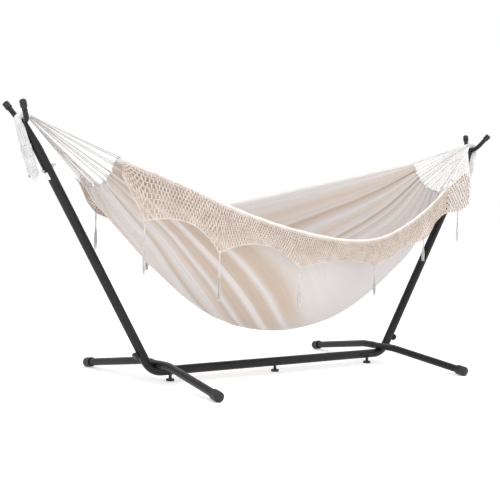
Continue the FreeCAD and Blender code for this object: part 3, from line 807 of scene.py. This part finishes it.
def flap_strings(made, face_x):
    """Strings that run on past the cloth's near corner and carry the end of the fringe."""
    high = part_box("lace_near")[1]
    xs = np.linspace(0.90 * high.x, high.x - 0.004, FLAP_STRINGS)
    y, top, _ = lace_frame("lace_near", xs).T
    t = np.linspace(0, 1, 12)[:, None]
    for k in range(FLAP_STRINGS):
        start = np.array((xs[k], y[k] + 0.002, top[k] - 0.007))
        end = in_fork(face_x, math.pi * (1.1 + 0.8 * k / FLAP_STRINGS))
        line = start + (end - start) * t
        line[:, 2] -= RNG.uniform(0.004, 0.022) * (t * (1 - t))[:, 0]
        line[:, 1] += RNG.uniform(-0.008, 0.008) * (t * (1 - t))[:, 0]
        made.twisted(line, FLAP_STRING_R, TWIST)


def string_start(ends, k, count, half, side):
    """Where one string of pair k leaves the cloth. The outermost pairs leave its corners."""
    share = 0.012 + 0.976 * k / (count - 1)
    column = int(round((share + half * 0.007) * (ACROSS - 1)))
    if k in (0, count - 1):
        column = 0 if k == 0 else ACROSS - 1
    start = ends[column].copy()
    if k in (0, count - 1):
        start[2] += half * 0.004
    start[0] -= side * 0.006
    return start


def holding_loop(made, start, end):
    """Four turns of thread about the string, where it holds the cloth's end."""
    head = start + (end - start) * 0.012
    tail = start + (end - start) * 0.045
    wrap = np.linspace(0, 1, 34)
    around, other = frames(np.array([head, (head + tail) / 2, tail]))
    spin = 2 * math.pi * 4 * wrap
    coil = (head + (tail - head) * wrap[:, None]
            + (around[1] * np.cos(spin)[:, None] + other[1] * np.sin(spin)[:, None]) * 0.0024)
    made.tube(coil, 0.0009, 5)


def string_fan(name, side):
    """Pairs of strings from the cloth's gathered end to the fork."""
    ends = SHEET[-1 if side > 0 else 0]
    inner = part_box("gathered_rope_" + name)
    face_x = inner[0].x if side > 0 else inner[1].x
    centre = ends.mean(axis=0)
    made = Pieces()
    t = np.linspace(0, 1, 12)[:, None]
    for k in range(PAIRS[name]):
        for half in (-1, 1):
            start = string_start(ends, k, PAIRS[name], half, side)
            end = in_fork(face_x, math.atan2(start[2] - centre[2], start[1] - centre[1])
                          + half * 0.12)
            line = start + (end - start) * t
            line[:, 2] -= 0.004 * (t * (1 - t))[:, 0] * RNG.uniform(0.3, 1.6)
            line[:, 1] += 0.002 * (t * (1 - t))[:, 0] * RNG.uniform(-1, 1)
            made.twisted(line, STRING_R[name], TWIST)
            holding_loop(made, start, end)
    if side > 0:
        flap_strings(made, face_x)
    # one string cotton: the left fan takes the darker copy as painted shade, the right fan the paler copy as
    # painted light
    cotton = STRING if side < 0 else STRING_LIT
    return made.build("string_fan_" + name, "hammock", "cotton_string", cotton,
                      ["strings_" + name])


def gathered(name):
    """The strings drawn together where they lie in the fork, about a core."""
    lo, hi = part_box("gathered_rope_" + name)
    xs = np.linspace(lo.x, hi.x, 9)
    made = Pieces()
    made.tube([(x, 0, SWING.z) for x in xs], 0.0100, 18, flat=0.82)
    for k in range(GATHERED):
        a = 2 * math.pi * k / GATHERED
        y, z = 1.2 * GATHERED_R * math.cos(a), SWING.z + GATHERED_R * math.sin(a)
        made.tube([(x, y, z) for x in xs], 0.0020, 6)
    return made.build("gathered_strands_" + name, "hammock", "cotton_string", ROPE,
                      ["gathered_rope_" + name])


for name, side in SIDES:
    string_fan(name, side)
    gathered(name)


# ---------------------------------------------------------------- floor and light
FLOOR_HALF = 30.0


def make_floor():
    mesh = bpy.data.meshes.new("floor")
    r = FLOOR_HALF
    mesh.from_pydata([(-r, -r, 0), (r, -r, 0), (r, r, 0), (-r, r, 0)], [], [(0, 1, 2, 3)])
    mat, tree, shader = new_material("floor", (0.98, 0.98, 0.98), 0.9)
    where = node(tree, "ShaderNodeTexCoord").outputs["Object"]
    tree.links.new(ramp(tree, noise(tree, where, 2.0, 3.0),
                        [(0.3, grey(0.972)), (0.7, grey(0.984))]), shader.inputs["Base Color"])
    shader.inputs["Specular IOR Level"].default_value = 0.0
    shader.inputs["Emission Color"].default_value = (1, 1, 1, 1)
    shader.inputs["Emission Strength"].default_value = 0.26
    mesh.materials.append(mat)
    floor = bpy.data.objects.new("floor", mesh)
    bpy.context.scene.collection.objects.link(floor)


def area_light(name, at, target, size, watts):
    data = bpy.data.lights.new(name, "AREA")
    data.shape, data.size, data.energy = "DISK", size, watts
    light = bpy.data.objects.new(name, data)
    light.location = at
    light.rotation_euler = (Vector(target) - Vector(at)).to_track_quat("-Z", "Y").to_euler()
    bpy.context.scene.collection.objects.link(light)


def make_world():
    scene = bpy.context.scene
    world = bpy.data.worlds.new("studio")
    scene.world = world
    world.use_nodes = True
    background = world.node_tree.nodes["Background"]
    background.inputs["Color"].default_value = (1, 1, 1, 1)
    background.inputs["Strength"].default_value = 1.0
    scene.view_settings.view_transform = "Standard"


make_floor()
middle = (0.0, 0.0, 0.6)
area_light("key", (-3.2, -3.8, 2.9), middle, 2.8, 50.0)
area_light("top", (-0.4, -1.6, 4.6), middle, 3.2, 62.0)
area_light("fill", (3.4, -2.6, 2.4), middle, 3.0, 12.0)
area_light("rim", (1.5, 3.8, 3.4), middle, 3.0, 22.0)

make_world()
